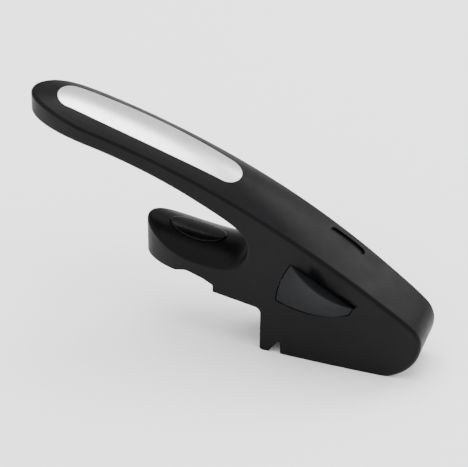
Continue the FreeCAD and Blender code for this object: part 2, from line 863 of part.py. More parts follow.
flange_half = button_width / 2 + flange_overlap
flange_top = arm_height(button_x) + arm_crown * (1 - (flange_half / half) ** 2) - wall - 0.4
flange_low = flange_top - flange_thickness
board_low = arm_under_height + wall + 0.9
board_top = board_low + 1.2
board_half = 14.0
standoff_offset = 11.5
switch_top = flange_low - button_travel - 0.2


def start_button():
    high = flange_top + 3 * button_depth
    cap = ellipse_prism(button_x, button_length, button_width, -button_gap, flange_top, high)
    cap = cap.common(finger_gap(button_depth))
    cap = cap.cut(finger_gap(-button_proud)).Solids[0]
    crest = [e for e in cap.Edges if e.BoundBox.ZMin > flange_top + wall / 2]
    return cap.makeFillet(button_round, crest)


def button_carrier():
    flange = ellipse_prism(button_x, button_length, button_width, flange_overlap, flange_low,
                           flange_top)
    stem = ellipse_prism(button_x, button_length - 8.0, button_width - 5.0, 0, flange_low,
                         flange_top + 3 * button_depth)
    stem = stem.cut(finger_gap(button_depth))
    return fuse([flange, stem])


def button_springs():
    coils = []
    for x in (button_x - 7.0, button_x + 7.0):
        coils.append(coil((x, 0, board_top + 0.3), Vector(0, 0, 1), flange_low - board_top - 0.6,
                          2.0, 0.25, 5))
    return Part.makeCompound(coils)


def switch_board():
    board = box(button_x - board_half, button_x + board_half, -7.0, 7.0, board_low, board_top)
    for x in (button_x - standoff_offset, button_x + standoff_offset):
        board = board.cut(post(x, 0, 0, board_top + 1, screw_radius))
    return board


def start_switch():
    body = box(button_x - 3.0, button_x + 3.0, -3.0, 3.0, board_top, switch_top - 0.6)
    return fuse([body, post(button_x, 0, board_top, switch_top, 1.6)])


def pan_screw(x, y, z, length):
    """Vertical screw with its head's underside at z."""
    return fuse([post(x, y, z, z + head_height - 0.2, head_radius - 0.2),
                 post(x, y, z - length, z, screw_radius)])


def board_screws():
    return Part.makeCompound([pan_screw(x, 0, board_top, 5.0) for x in (button_x - standoff_offset,
                                                                        button_x + standoff_offset)])


def plate_screws():
    return Part.makeCompound([pan_screw(x, y, plate_low_top, 8.0) for x, y in chassis_screws])


# ---- handle: cells, contacts, covers, inlay -------------------------------
bay_left = -155.0
bay_right = -66.0
cell_orbit = under_radius + cover_thickness + cell_gap + cell_radius
cell_turn = math.degrees(cell_length / cell_orbit)
contact_thickness = 0.4


def turn_by(run):
    """Degrees round the handle's arc for a run along the cells' centre line."""
    return math.degrees(run / cell_orbit)


cells_start = math.degrees(math.acos((bay_left - under_centre[0]) / cell_orbit)) - turn_by(1.0)


def cell_cylinder(row, radius, low_end, high_end):
    """Cylinder on a cell's axis; the ends are measured from the cell's flat end."""
    turn = cells_start - (row + 0.5) * cell_turn - turn_by(0.9 + 1.2 * row)
    x, z = polar(under_centre, cell_orbit, turn)
    swing = math.radians(turn)
    along = Vector(-math.sin(swing), 0, math.cos(swing))
    low = Vector(x, 0, z) + along * (low_end - cell_length / 2)
    return Part.makeCylinder(radius, high_end - low_end, low, along)


def battery_cell(row):
    can = cell_cylinder(row, cell_radius, 0, cell_length - 1.0)
    return fuse([can, cell_cylinder(row, 1.9, cell_length - 1.5, cell_length)])


def contact_plates():
    made = []
    for turn in (cells_start, cells_start - 2 * cell_turn - turn_by(3.5)):
        x, z = polar(under_centre, cell_orbit, turn)
        side = 0.8 * cell_radius
        thick = contact_thickness / 2
        sheet = box(-thick, thick, -side, side, -side, side)
        sheet.rotate(Vector(0, 0, 0), Vector(0, 1, 0), 90 - turn)
        sheet.translate(Vector(x, 0, z))
        made.append(sheet)
    return Part.makeCompound(made)


def bay_block(shrink):
    low = crotch_z + crotch_radius / 2
    high = spine_height(bay_left) + half
    block = box(bay_left + shrink, bay_right - shrink, shrink - bay_width / 2,
                bay_width / 2 - shrink, low, high)
    corners = [e for e in block.Edges if abs(e.tangentAt(e.FirstParameter).z) > 0.9]
    return block.makeFillet(4.0 - shrink, corners)


def battery_cover(outer):
    shell = outer.common(bay_block(cover_gap))
    return shell.common(finger_gap(cover_thickness)).Solids[0]


def inlay_outline(grow):
    return oval_outline(inlay_start + inlay_length / 2, 0, inlay_length, inlay_width,
                        inlay_end_width, grow)


def inlay_plate():
    body = prism_z(inlay_outline(0), crotch_z, spine_height(inlay_start) + half)
    body = body.common(under_top(-inlay_proud)).cut(under_top(inlay_depth)).Solids[0]
    crest = []
    for edge in body.Edges:
        m = middle_of(edge)
        if m.z > spine_height(m.x) + spine_crown(m.x, 0) * (1 - (m.y / half) ** 2):
            crest.append(edge)
    return body.makeFillet(inlay_round, crest)


cover_corners = [(-23.5, 4.5, 2.0), (26.0, 4.5, 6.0), (39.8, 17.5, 5.0), (39.6, 28.5, 4.0),
                 (4.0, 55.5, 50.0), (-36.5, 77.5, 4.0), (-40.0, 72.0, 4.0),
                 (-40.0, 33.0, 4.0), (-34.0, 13.5, 3.0), (-25.0, 12.5, 2.0)]
cover_screw_places = [(-35.5, 72.0), (-6.0, 55.5), (36.6, 23.5), (9.0, 8.2), (-23.0, 22.0)]


def cover_prism(shrink):
    wire = rounded_outline(cover_corners)
    if shrink:
        wire = Part.Face(wire).makeOffset2D(-shrink).Wires[0]
    return prism_y(wire, half / 3, 2 * half)


def back_cover(outer):
    cover = outer.common(cover_prism(cover_gap)).cut(plan_form(wall))
    for x, z in cover_screw_places:
        deep = half_width(x) - head_height - 0.3
        cover = cover.cut(rod((x, 0, z), (x, 2 * half, z), screw_radius + 0.1))
        cover = cover.cut(rod((x, deep, z), (x, 2 * half, z), head_radius + 0.15))
    return cover.Solids[0]


def cover_screws():
    made = []
    for x, z in cover_screw_places:
        under = half_width(x) - head_height - 0.3
        head = rod((x, under, z), (x, under + head_height, z), head_radius)
        cross = box(x - 0.3, x + 0.3, under + head_height - 0.7, under + head_height + 1, z - 1.2,
                    z + 1.2)
        bar = box(x - 1.2, x + 1.2, under + head_height - 0.7, under + head_height + 1, z - 0.3,
                  z + 0.3)
        shank = rod((x, under - 9.0, z), (x, under, z), screw_radius)
        made.append(fuse([head, shank]).cut(cross).cut(bar))
    return Part.makeCompound(made)


# ---- main housing ---------------------------------------------------------
def inner_posts():
    """Bosses and lugs inside the shell, before they are trimmed to it."""
    made = [rod((x, -2 * half, z), (x, 2 * half, z), boss_radius) for x, z in cover_screw_places]
    for x, y in chassis_screws:
        made.append(post(x, y, 0, plate_low_z, ear_radius))
    for x in (button_x - standoff_offset, button_x + standoff_offset):
        made.append(post(x, 0, heel_height, board_low, 2.2))
    for x in (pin_ends[0], pin_ends[1] - lug_width):
        made.append(box(x, x + lug_width, -half, lever_axis_y + 1.7, lever_axis_z - 1.7,
                        lever_axis_z + 1.7))
    return made


def scoop():
    """Finger scoop that deepens and widens towards the lever's right corner."""
    x, z = lever_right
    face = -half_width(x) - 1.0
    rise = math.radians(90 - 32)
    start = Vector(lever_top[0], -half_width(lever_top[0]) - 1.0, lever_top[1])
    low = Vector(x + 0.5, face, z - 0.3)
    deep = Vector(x + 0.5, -half_width(x) + scoop_depth, z - 0.3)
    high = Vector(x + scoop_reach * math.cos(rise), face, z + scoop_reach * math.sin(rise))
    faces = [Part.Face(Part.makePolygon(loop + loop[:1])) for loop in
             ([start, low, deep], [start, deep, high], [start, high, low], [low, high, deep])]
    return Part.Solid(Part.Shell(faces))


def main_housing(outer, inner):
    shell = outer.cut(inner)
    additions = [piece.common(inner) for piece in inner_posts()]
    shell = fuse([shell] + additions)
    shell = shell.cut(cover_prism(0).cut(plan_form(wall)))
    for x, z in cover_screw_places:
        shell = shell.cut(rod((x, half_width(x) - 12.0, z), (x, 2 * half, z), screw_radius))
    for x, y in chassis_screws:
        shell = shell.cut(post(x, y, plate_low_top - 8.0, plate_low_z + 1, screw_radius))
    for x in (button_x - standoff_offset, button_x + standoff_offset):
        shell = shell.cut(post(x, 0, board_top - 5.0, board_low + 1, screw_radius))
    shell = shell.cut(bay_block(0).common(finger_gap(wall + 0.05)))
    for row in (0, 1):
        shell = shell.cut(cell_cylinder(row, cell_radius + cell_gap, -0.6, cell_length + 0.6))
    shell = shell.cut(prism_z(inlay_outline(0.1), crotch_z,
                              spine_height(inlay_start) + half).cut(under_top(inlay_depth)))
    recess = oval_outline(slot_x, slot_y, slot_length, slot_width, slot_end_width, 0)
    shell = shell.cut(prism_z(recess, crotch_z - crotch_radius,
                              crotch_z + half).cut(under_top(slot_depth)))
    shell = shell.cut(prism_y(lever_outline(0), -2 * half, -half / 2))
    shell = shell.cut(scoop())
    shell = shell.cut(rod((pin_ends[0], lever_axis_y, lever_axis_z),
                          (pin_ends[1], lever_axis_y, lever_axis_z), pin_radius))
    shell = shell.cut(ellipse_prism(button_x, button_length, button_width, 0, flange_top,
                                    flange_top + 3 * button_depth))
    # nose: pocket round the traction wheel, seat of the lower bush, cutter's slot
    shell = shell.cut(post(spindle_x, 0, -1, notch_height - 0.5, wheel_radius + 0.5))
    shell = shell.cut(post(spindle_x, 0, -1, nose_floor + 1, bush_outer))
    reach = cutter_radius * 0.8
    shell = shell.cut(box(notch_x - 1, notch_x + wall + 0.5, -reach, reach, cutter_z - 0.6,
                          cutter_z + cutter_thickness + 0.9))
    for y in (-rod_spread / 2, rod_spread / 2):
        shell = shell.cut(rod((notch_x + wall / 2, y, rod_z), (notch_x + 2 * wall, y, rod_z),
                              rod_radius))
    return shell


def main():
    outer = outer_form()
    inner = body_form(wall, lower_cavity())
    housing = main_housing(outer, inner)
    save("main_housing", housing)
    save("back_cover", back_cover(outer))
    save("battery_cover", battery_cover(outer))
    for row in (0, 1):
        save("battery_cell_%d" % (row + 1), battery_cell(row))
    makers = [first_gear, second_gear, idler_gear, output_gear, motor_pinion, gear_axles,
              motor_case, motor_pad, motor_shaft, lower_plate, upper_plate, plate_posts,
              spindle_bushes, drive_spindle, traction_wheel, cutter_wheel, cutter_axle,
              cutter_carriage, guide_rods, guide_bracket, release_tongue, carriage_springs,
              release_lever, lever_pin, release_arm, lever_spring, start_button, button_carrier,
              button_springs, switch_board, start_switch, board_screws, plate_screws,
              contact_plates, inlay_plate, cover_screws]
    for make in makers:
        save(make.__name__, make())


os.makedirs("parts", exist_ok=True)
main()
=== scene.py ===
import math

import bpy
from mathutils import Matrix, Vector
from mathutils.bvhtree import BVHTree


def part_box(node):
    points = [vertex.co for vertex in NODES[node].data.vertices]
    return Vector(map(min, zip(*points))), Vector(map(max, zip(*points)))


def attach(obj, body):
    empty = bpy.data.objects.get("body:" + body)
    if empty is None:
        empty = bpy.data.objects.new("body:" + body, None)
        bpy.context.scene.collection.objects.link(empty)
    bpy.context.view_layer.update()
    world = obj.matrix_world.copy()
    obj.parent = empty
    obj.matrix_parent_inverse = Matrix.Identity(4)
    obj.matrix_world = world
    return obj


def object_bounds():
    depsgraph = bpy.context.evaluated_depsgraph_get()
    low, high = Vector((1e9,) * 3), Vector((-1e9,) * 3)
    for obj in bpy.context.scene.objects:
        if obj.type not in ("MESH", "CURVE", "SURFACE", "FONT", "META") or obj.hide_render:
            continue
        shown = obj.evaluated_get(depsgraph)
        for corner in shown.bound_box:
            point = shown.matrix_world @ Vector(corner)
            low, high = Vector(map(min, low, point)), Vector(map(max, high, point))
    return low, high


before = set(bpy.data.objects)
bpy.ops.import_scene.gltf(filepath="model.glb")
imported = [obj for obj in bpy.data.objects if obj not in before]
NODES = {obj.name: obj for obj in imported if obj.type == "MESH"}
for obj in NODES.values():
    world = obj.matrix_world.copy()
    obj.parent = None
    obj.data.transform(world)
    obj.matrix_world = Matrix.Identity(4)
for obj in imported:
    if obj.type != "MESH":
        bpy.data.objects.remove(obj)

bl_info = {
    "name": "Can Opener Finishes",
    "version": (1, 0, 0),
    "blender": (4, 5, 0),
    "location": "View3D > Sidebar > Can Opener",
    "description": "Finishes, trim pieces and studio for a cordless can opener",
    "category": "Object",
}

CAD_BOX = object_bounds()

# Numbered sockets of the colour Mix node, whose names repeat for each data type
MIX_FACTOR, MIX_FIRST, MIX_SECOND, MIX_RESULT = 0, 6, 7, 2
PATTERN_LOW, PATTERN_HIGH = 0.3, 0.7      # range that a noise pattern mostly fills
BRUSH_STRETCH = 0.02                      # scratches are fifty times longer than wide
RIB_ROUNDNESS = 20                        # sides of a rib's round section
RIB_PLACE = 0.30                          # middle of the ribs along the battery cover
RIB_SINK = 0.45                           # share of its radius that a rib's axis lies inside the cover
LOOK_MARGIN = 0.02                        # start of a measuring ray, outside the object
FLOOR_REACH = 6.0
FLOOR_DROP = 0.0002                       # gap between the object and the floor
WORLD_STRENGTH = 1.3
SENSOR_WIDTH = 36.0                       # millimetres
MARK = (-0.0285, -0.0154, 0.0)            # front corner of the base, beside the notch
MARK_RIGHT = 0.0230                       # where the mark stands from the view's middle
MARK_BELOW = 0.0600
LAMPS = (                                 # name, place, side in metres, power in watts
    ("overhead", (-0.10, 0.20, 1.5), 1.2, 36.0),
    ("front_left", (-1.0, -0.7, 0.9), 0.9, 3.0),
    ("back_right", (0.80, 1.00, 0.80), 0.7, 13.0),
)


# ---- measuring on the CAD nodes -------------------------------------------
def surface_of(node):
    """Ray-casting tree over a CAD node's faces."""
    mesh = NODES[node].data
    points = [v.co.copy() for v in mesh.vertices]
    faces = [tuple(p.vertices) for p in mesh.polygons]
    return BVHTree.FromPolygons(points, faces)


def first_hit(tree, start, direction):
    """First point that a ray meets, or None."""
    return tree.ray_cast(Vector(start), Vector(direction))[0]


# ---- making meshes --------------------------------------------------------
def new_piece(name, points, faces, material):
    """Plain mesh object with one material."""
    mesh = bpy.data.meshes.new(name)
    mesh.from_pydata(points, [], faces)
    mesh.update()
    piece = bpy.data.objects.new(name, mesh)
    bpy.context.scene.collection.objects.link(piece)
    mesh.materials.append(material)
    return piece


# ---- making materials -----------------------------------------------------
class Finish:
    """A node-based material under construction: nodes are added and linked by short calls."""

    def __init__(self, name):
        self.material = bpy.data.materials.new(name)
        self.material.use_nodes = True
        self.tree = self.material.node_tree
        self.shader = self.tree.nodes["Principled BSDF"]
        self.place = self.add("ShaderNodeTexCoord").outputs["Object"]

    def add(self, kind, **settings):
        node = self.tree.nodes.new(kind)
        for key, value in settings.items():
            setattr(node, key, value)
        return node

    def link(self, source, target):
        self.tree.links.new(source, target)

    def fixed(self, **values):
        """Numbers and colours that are the same all over, set on the shader's own sockets."""
        for key, value in values.items():
            self.shader.inputs[key.replace("_", " ")].default_value = value

    def mapped(self, scale=(1, 1, 1), centre=(0, 0, 0)):
        """Object coordinates, centred and scaled."""
        mapping = self.add("ShaderNodeMapping", vector_type="TEXTURE")
        mapping.inputs["Location"].default_value = centre
        mapping.inputs["Scale"].default_value = [1 / s for s in scale]
        self.link(self.place, mapping.inputs["Vector"])
        return mapping.outputs["Vector"]

    def noise(self, where, scale, detail=3.0, rough=0.5):
        noise = self.add("ShaderNodeTexNoise")
        noise.inputs["Scale"].default_value = scale
        noise.inputs["Detail"].default_value = detail
        noise.inputs["Roughness"].default_value = rough
        self.link(where, noise.inputs["Vector"])
        return noise.outputs["Fac"]

    def rings(self, where, scale):
        """Fine rings about the vertical axis, slightly uneven."""
        wave = self.add("ShaderNodeTexWave", wave_type="RINGS", rings_direction="Z")
        wave.inputs["Scale"].default_value = scale
        wave.inputs["Distortion"].default_value = 0.3
        wave.inputs["Detail"].default_value = 2.0
        self.link(where, wave.inputs["Vector"])
        return wave.outputs["Fac"]

    def spread(self, value, low, high):
        """A 0-1 pattern brought to a range."""
        stretch = self.add("ShaderNodeMapRange")
        stretch.inputs["From Min"].default_value = PATTERN_LOW
        stretch.inputs["From Max"].default_value = PATTERN_HIGH
        stretch.inputs["To Min"].default_value = low
        stretch.inputs["To Max"].default_value = high
        self.link(value, stretch.inputs["Value"])
        return stretch.outputs["Result"]

    def tinted(self, value, dark, light):
        """Base colour between two tones, following a pattern."""
        mix = self.add("ShaderNodeMix", data_type="RGBA")
        mix.inputs[MIX_FIRST].default_value = (*dark, 1)
        mix.inputs[MIX_SECOND].default_value = (*light, 1)
        self.link(self.spread(value, 0, 1), mix.inputs[MIX_FACTOR])
        self.link(mix.outputs[MIX_RESULT], self.shader.inputs["Base Color"])

    def rough(self, value, low, high):
        self.link(self.spread(value, low, high), self.shader.inputs["Roughness"])

    def raised(self, value, depth, under=None):
        """Relief of a pattern, depth in metres, laid over the relief given as under."""
        bump = self.add("ShaderNodeBump")
        bump.inputs["Strength"].default_value = 1.0
        bump.inputs["Distance"].default_value = depth
        self.link(value, bump.inputs["Height"])
        if under:
            self.link(under, bump.inputs["Normal"])
        self.link(bump.outputs["Normal"], self.shader.inputs["Normal"])
        return bump.outputs["Normal"]


def toned(colour, share):
    """Colour made darker or lighter by a share."""
    return tuple(min(1.0, c * share) for c in colour)


def moulded(name, colour, roughness, grain=1400.0, depth=0.00003, gloss=0.5):
    """Fine-grained moulding: spark-eroded texture, slow tone change, faint handling polish."""
    finish = Finish(name)
    where = finish.mapped()
    finish.tinted(finish.noise(where, 45.0, 2.0), toned(colour, 0.82), toned(colour, 1.22))
    finish.rough(finish.noise(where, 90.0, 4.0), roughness - 0.05, roughness + 0.06)
    fine = finish.raised(finish.noise(where, grain, 2.0, 0.6), depth)
    finish.raised(finish.noise(where, grain * 0.28, 1.0), depth * 0.9, fine)
    finish.fixed(Specular_IOR_Level=gloss)
    return finish.material


def brushed(name, colour, roughness, along="X", fine=4200.0, depth=0.000006):
    """Metal brushed along one axis: long fine scratches with slight tone changes."""
    finish = Finish(name)
    stretch = [BRUSH_STRETCH if axis == along else 1 for axis in "XYZ"]
    where = finish.mapped(scale=stretch)
    scratches = finish.noise(where, fine, 3.0, 0.65)
    tone = finish.noise(where, fine * 0.35, 2.0)
    finish.tinted(tone, toned(colour, 0.90), toned(colour, 1.06))
    finish.rough(scratches, roughness - 0.06, roughness + 0.08)
    finish.raised(scratches, depth)
    finish.fixed(Metallic=1.0)
    return finish.material


def turned(name, colour, roughness, centre=(0, 0, 0), pitch=5000.0, depth=0.000004):
    """Lathe-turned metal: fine rings about a vertical axis."""
    finish = Finish(name)
    where = finish.mapped(centre=centre)
    lines = finish.rings(where, pitch)
    stains = finish.noise(where, 300.0, 3.0)
    finish.tinted(stains, toned(colour, 0.88), toned(colour, 1.08))
    finish.rough(stains, roughness - 0.04, roughness + 0.06)
    finish.raised(lines, depth)
    finish.fixed(Metallic=1.0)
    return finish.material


def plated(name, colour, roughness, cloud=420.0, depth=0.000008):
    """Zinc or nickel plate over rolled or cast metal: cloudy, slightly uneven."""
    finish = Finish(name)
    where = finish.mapped()
    clouds = finish.noise(where, cloud, 5.0, 0.6)
    finish.tinted(clouds, toned(colour, 0.80), toned(colour, 1.10))
    finish.rough(clouds, roughness - 0.08, roughness + 0.08)
    finish.raised(finish.noise(where, cloud * 5, 2.0), depth)
    finish.fixed(Metallic=1.0)
    return finish.material


def axis_of(node):
    """Place of a round piece's vertical axis."""
    low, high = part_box(node)
    return ((low.x + high.x) / 2, (low.y + high.y) / 2, 0)


def dress(node, material):
    """Gives a CAD node a finish through its material slots."""
    for slot in NODES[node].material_slots:
        slot.material = material


# ---- Geometry Nodes -------------------------------------------------------
class Pattern:
    """A Geometry Nodes tree under construction, run once and turned into a plain mesh."""

    def __init__(self, name):
        self.name = name
        self.group = bpy.data.node_groups.new(name, "GeometryNodeTree")
        self.group.interface.new_socket(
            "Geometry", in_out="INPUT", socket_type="NodeSocketGeometry")
        self.values = {}
        self.sockets = {}

    def number(self, name, value, kind="NodeSocketFloat"):
        socket = self.group.interface.new_socket(name, in_out="INPUT", socket_type=kind)
        self.values[socket.identifier] = value
        self.sockets[name] = socket.identifier

    def start(self):
        """Ends the list of inputs and adds the group's two end nodes."""
        self.group.interface.new_socket(
            "Geometry", in_out="OUTPUT", socket_type="NodeSocketGeometry")
        self.inputs = self.group.nodes.new("NodeGroupInput")
        self.outputs = self.group.nodes.new("NodeGroupOutput")

    def given(self, name):
        """Output of the group's input node that carries a named value."""
        for output in self.inputs.outputs:
            if output.identifier == self.sockets.get(name, ""):
                return output
        return self.inputs.outputs["Geometry"]

    def add(self, kind, **settings):
        node = self.group.nodes.new(kind)
        for key, value in settings.items():
            setattr(node, key, value)
        return node

    def link(self, source, target):
        self.group.links.new(source, target)

    def math(self, operation, a, b):
        node = self.add("ShaderNodeMath", operation=operation)
        for socket, value in zip(node.inputs, (a, b)):
            if isinstance(value, (int, float)):
                socket.default_value = value
            else:
                self.link(value, socket)
        return node.outputs[0]

    def finish(self, geometry, material):
        """Turns copies into real faces and gives them their material."""
        real = self.add("GeometryNodeRealizeInstances")
        painted = self.add("GeometryNodeSetMaterial")
        painted.inputs["Material"].default_value = material
        self.link(geometry, real.inputs[0])
        self.link(real.outputs[0], painted.inputs["Geometry"])
        self.link(painted.outputs[0], self.outputs.inputs["Geometry"])

    def made_on(self, points):
        """Runs the tree on loose points and returns a plain mesh object."""
        seeds = bpy.data.meshes.new(self.name + "_places")
        seeds.from_pydata(points, [], [])
        carrier = bpy.data.objects.new(self.name + "_carrier", seeds)
        bpy.context.scene.collection.objects.link(carrier)
        modifier = carrier.modifiers.new("pattern", "NODES")
        modifier.node_group = self.group
        for identifier, value in self.values.items():
            modifier[identifier] = value
        graph = bpy.context.evaluated_depsgraph_get()
        mesh = bpy.data.meshes.new_from_object(carrier.evaluated_get(graph))
        carrier.modifiers.remove(modifier)
        bpy.data.objects.remove(carrier)
        if not mesh.polygons:
            raise RuntimeError("pattern %s made nothing" % self.name)
        piece = bpy.data.objects.new(self.name, mesh)
        bpy.context.scene.collection.objects.link(piece)
        return piece


# ---- sizes and colours a user would change --------------------------------
class CanOpenerShell(bpy.types.PropertyGroup):
    colour: bpy.props.FloatVectorProperty(
        name="Moulding colour", description="Colour of the matt shell", subtype="COLOR",
        size=3, min=0, max=1, default=(0.0028, 0.0028, 0.0033))
    roughness: bpy.props.FloatProperty(
        name="Roughness", description="How matt the shell is", min=0, max=1, default=0.42)
    lever_colour: bpy.props.FloatVectorProperty(
        name="Lever colour", description="Colour of the release lever", subtype="COLOR",
        size=3, min=0, max=1, default=(0.0075, 0.0078, 0.0092))
    cap_colour: bpy.props.FloatVectorProperty(
        name="Button colour", description="Colour of the glossy start button", subtype="COLOR",
        size=3, min=0, max=1, default=(0.003, 0.003, 0.0035))


class CanOpenerMetal(bpy.types.PropertyGroup):
    inlay_colour: bpy.props.FloatVectorProperty(
        name="Inlay colour", description="Colour of the brushed handle inlay", subtype="COLOR",
        size=3, min=0, max=1, default=(0.62, 0.62, 0.64))
    inlay_roughness: bpy.props.FloatProperty(
        name="Inlay roughness", description="How satin the inlay is", min=0, max=1, default=0.34)


class CanOpenerTrim(bpy.types.PropertyGroup):
    rib_count: bpy.props.IntProperty(
        name="Cover ribs", description="Ribs across the battery cover's thumb grip",
        min=3, max=12, default=7)
    rib_pitch: bpy.props.FloatProperty(
        name="Rib pitch", description="Distance between ribs", unit="LENGTH",
        min=0.001, max=0.004, default=0.002)
    rib_length: bpy.props.FloatProperty(
        name="Rib length", description="Length of a rib across the cover", unit="LENGTH",
        min=0.003, max=0.01, default=0.007)
    rib_radius: bpy.props.FloatProperty(
        name="Rib radius", description="Radius of a rib's round back", unit="LENGTH",
        min=0.0002, max=0.0008, default=0.00045)


class CanOpenerStudio(bpy.types.PropertyGroup):
    azimuth: bpy.props.FloatProperty(
        name="Camera azimuth", description="Camera's turn round the object", subtype="ANGLE",
        default=math.radians(19.5))
    elevation: bpy.props.FloatProperty(
        name="Camera elevation", description="Camera's height above the horizon", subtype="ANGLE",
        default=math.radians(41.5))
    distance: bpy.props.FloatProperty(
        name="Camera distance", description="Distance from camera to subject", unit="LENGTH",
        default=2.0)
    view_width: bpy.props.FloatProperty(
        name="View width", description="Width seen at the subject", unit="LENGTH",
        default=0.234)
    floor_colour: bpy.props.FloatVectorProperty(
        name="Floor colour", description="Colour of the studio floor", subtype="COLOR",
        size=3, min=0, max=1, default=(0.93, 0.93, 0.93))


# ---- pieces ---------------------------------------------------------------
class CANOPENER_OT_shell(bpy.types.Operator):
    """Gives the housing, back cover and battery cover their matt moulded finish"""
    bl_idname = "canopener.shell"
    bl_label = "Matt shell"

    def execute(self, context):
        looks = context.scene.canopener_shell
        black = moulded("matt_shell", tuple(looks.colour), looks.roughness, gloss=0.085)
        for node in ("main_housing", "back_cover", "battery_cover"):
            dress(node, black)
        return {"FINISHED"}


class CANOPENER_OT_lever(bpy.types.Operator):
    """Gives the release lever its dark grey grain"""
    bl_idname = "canopener.lever"
    bl_label = "Release lever"

    def execute(self, context):
        looks = context.scene.canopener_shell
        grey = moulded("lever_grey", tuple(looks.lever_colour), 0.46, grain=1900.0,
                       depth=0.000035, gloss=0.09)
        dress("release_lever", grey)
        return {"FINISHED"}


class CANOPENER_OT_inlay(bpy.types.Operator):
    """Gives the inlay plate along the handle's back its brushed steel finish"""
    bl_idname = "canopener.inlay"
    bl_label = "Steel inlay"

    def execute(self, context):
        looks = context.scene.canopener_metal
        steel = brushed("inlay_steel", tuple(looks.inlay_colour), looks.inlay_roughness)
        dress("inlay_plate", steel)
        return {"FINISHED"}


class CANOPENER_OT_start_button(bpy.types.Operator):
    """Gives the start button its glossy black finish and its carrier a nylon one"""
    bl_idname = "canopener.start_button"
    bl_label = "Start button"

    def execute(self, context):
        looks = context.scene.canopener_shell
        gloss = Finish("gloss_cap")
        where = gloss.mapped()
        colour = tuple(looks.cap_colour)
        gloss.tinted(gloss.noise(where, 120.0), toned(colour, 0.8), toned(colour, 1.3))
        gloss.rough(gloss.noise(where, 400.0), 0.20, 0.28)
        gloss.raised(gloss.noise(where, 260.0, 1.0), 0.000012)
        gloss.fixed(Specular_IOR_Level=0.10)
        dress("start_button", gloss.material)
        dress("button_carrier", moulded("carrier_nylon", (0.55, 0.54, 0.50), 0.45))
        return {"FINISHED"}


class CANOPENER_OT_cover_ribs(bpy.types.Operator):
    """Raises a row of round ribs across the battery cover as a thumb grip"""
    bl_idname = "canopener.cover_ribs"
    bl_label = "Battery cover ribs"

    def execute(self, context):
        trim = context.scene.canopener_trim
        pattern = Pattern("cover_ribs")
        pattern.number("Length", trim.rib_length)
        pattern.number("Radius", trim.rib_radius)
        pattern.start()
        copies = pattern.add("GeometryNodeInstanceOnPoints")
        pattern.link(pattern.given("Geometry"), copies.inputs["Points"])
        pattern.link(self.rib(pattern), copies.inputs["Instance"])
        pattern.finish(copies.outputs[0], NODES["battery_cover"].material_slots[0].material)
        ribs = pattern.made_on(self.places(trim))
        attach(ribs, "battery_door")
        return {"FINISHED"}

    def places(self, trim):
        """Middle of each rib, measured on the cover's lower face."""
        tree = surface_of("battery_cover")
        low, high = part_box("battery_cover")
        middle = low.x + (high.x - low.x) * RIB_PLACE
        found = []
        for k in range(trim.rib_count):
            x = middle + (k - (trim.rib_count - 1) / 2) * trim.rib_pitch
            hit = first_hit(tree, (x, 0, low.z - LOOK_MARGIN), (0, 0, 1))
            if hit is None:
                raise RuntimeError("the battery cover has no surface at x %.4f" % x)
            found.append((hit.x, 0, hit.z + trim.rib_radius * RIB_SINK))
        return found

    def moved(self, pattern, geometry, share):
        """Geometry moved along Y by a share of the rib's length."""
        move = pattern.add("GeometryNodeTransform")
        place = pattern.add("ShaderNodeCombineXYZ")
        shift = pattern.math("MULTIPLY", pattern.given("Length"), share)
        pattern.link(shift, place.inputs["Y"])
        pattern.link(place.outputs[0], move.inputs["Translation"])
        pattern.link(geometry, move.inputs["Geometry"])
        return move.outputs[0]

    def rib(self, pattern):
        """One rib: a round bar across the cover with a ball at each end."""
        line = pattern.add("GeometryNodeCurvePrimitiveLine", mode="DIRECTION")
        line.inputs["Direction"].default_value = (0, 1, 0)
        pattern.link(pattern.given("Length"), line.inputs["Length"])
        section = pattern.add("GeometryNodeCurvePrimitiveCircle", mode="RADIUS")
        section.inputs["Resolution"].default_value = RIB_ROUNDNESS
        pattern.link(pattern.given("Radius"), section.inputs["Radius"])
        bar = pattern.add("GeometryNodeCurveToMesh")
        bar.inputs["Fill Caps"].default_value = True
        pattern.link(line.outputs[0], bar.inputs["Curve"])
        pattern.link(section.outputs[0], bar.inputs["Profile Curve"])
        ball = pattern.add("GeometryNodeMeshUVSphere")
        ball.inputs["Segments"].default_value = RIB_ROUNDNESS
        ball.inputs["Rings"].default_value = RIB_ROUNDNESS // 2
        pattern.link(pattern.given("Radius"), ball.inputs["Radius"])
        joined = pattern.add("GeometryNodeJoinGeometry")
        pattern.link(self.moved(pattern, bar.outputs[0], -0.5), joined.inputs[0])
        for side in (-0.5, 0.5):
            pattern.link(self.moved(pattern, ball.outputs[0], side), joined.inputs[0])
        smooth = pattern.add("GeometryNodeSetShadeSmooth")
        pattern.link(joined.outputs[0], smooth.inputs["Geometry"])
        return smooth.outputs[0]


class CANOPENER_OT_cover_screws(bpy.types.Operator):
    """Gives the screws of the screwed cover their blackened finish"""
    bl_idname = "canopener.cover_screws"
    bl_label = "Cover screws"

    def execute(self, context):
        black = plated("blackened_screws", (0.055, 0.055, 0.06), 0.38)
        dress("cover_screws", black)
        return {"FINISHED"}


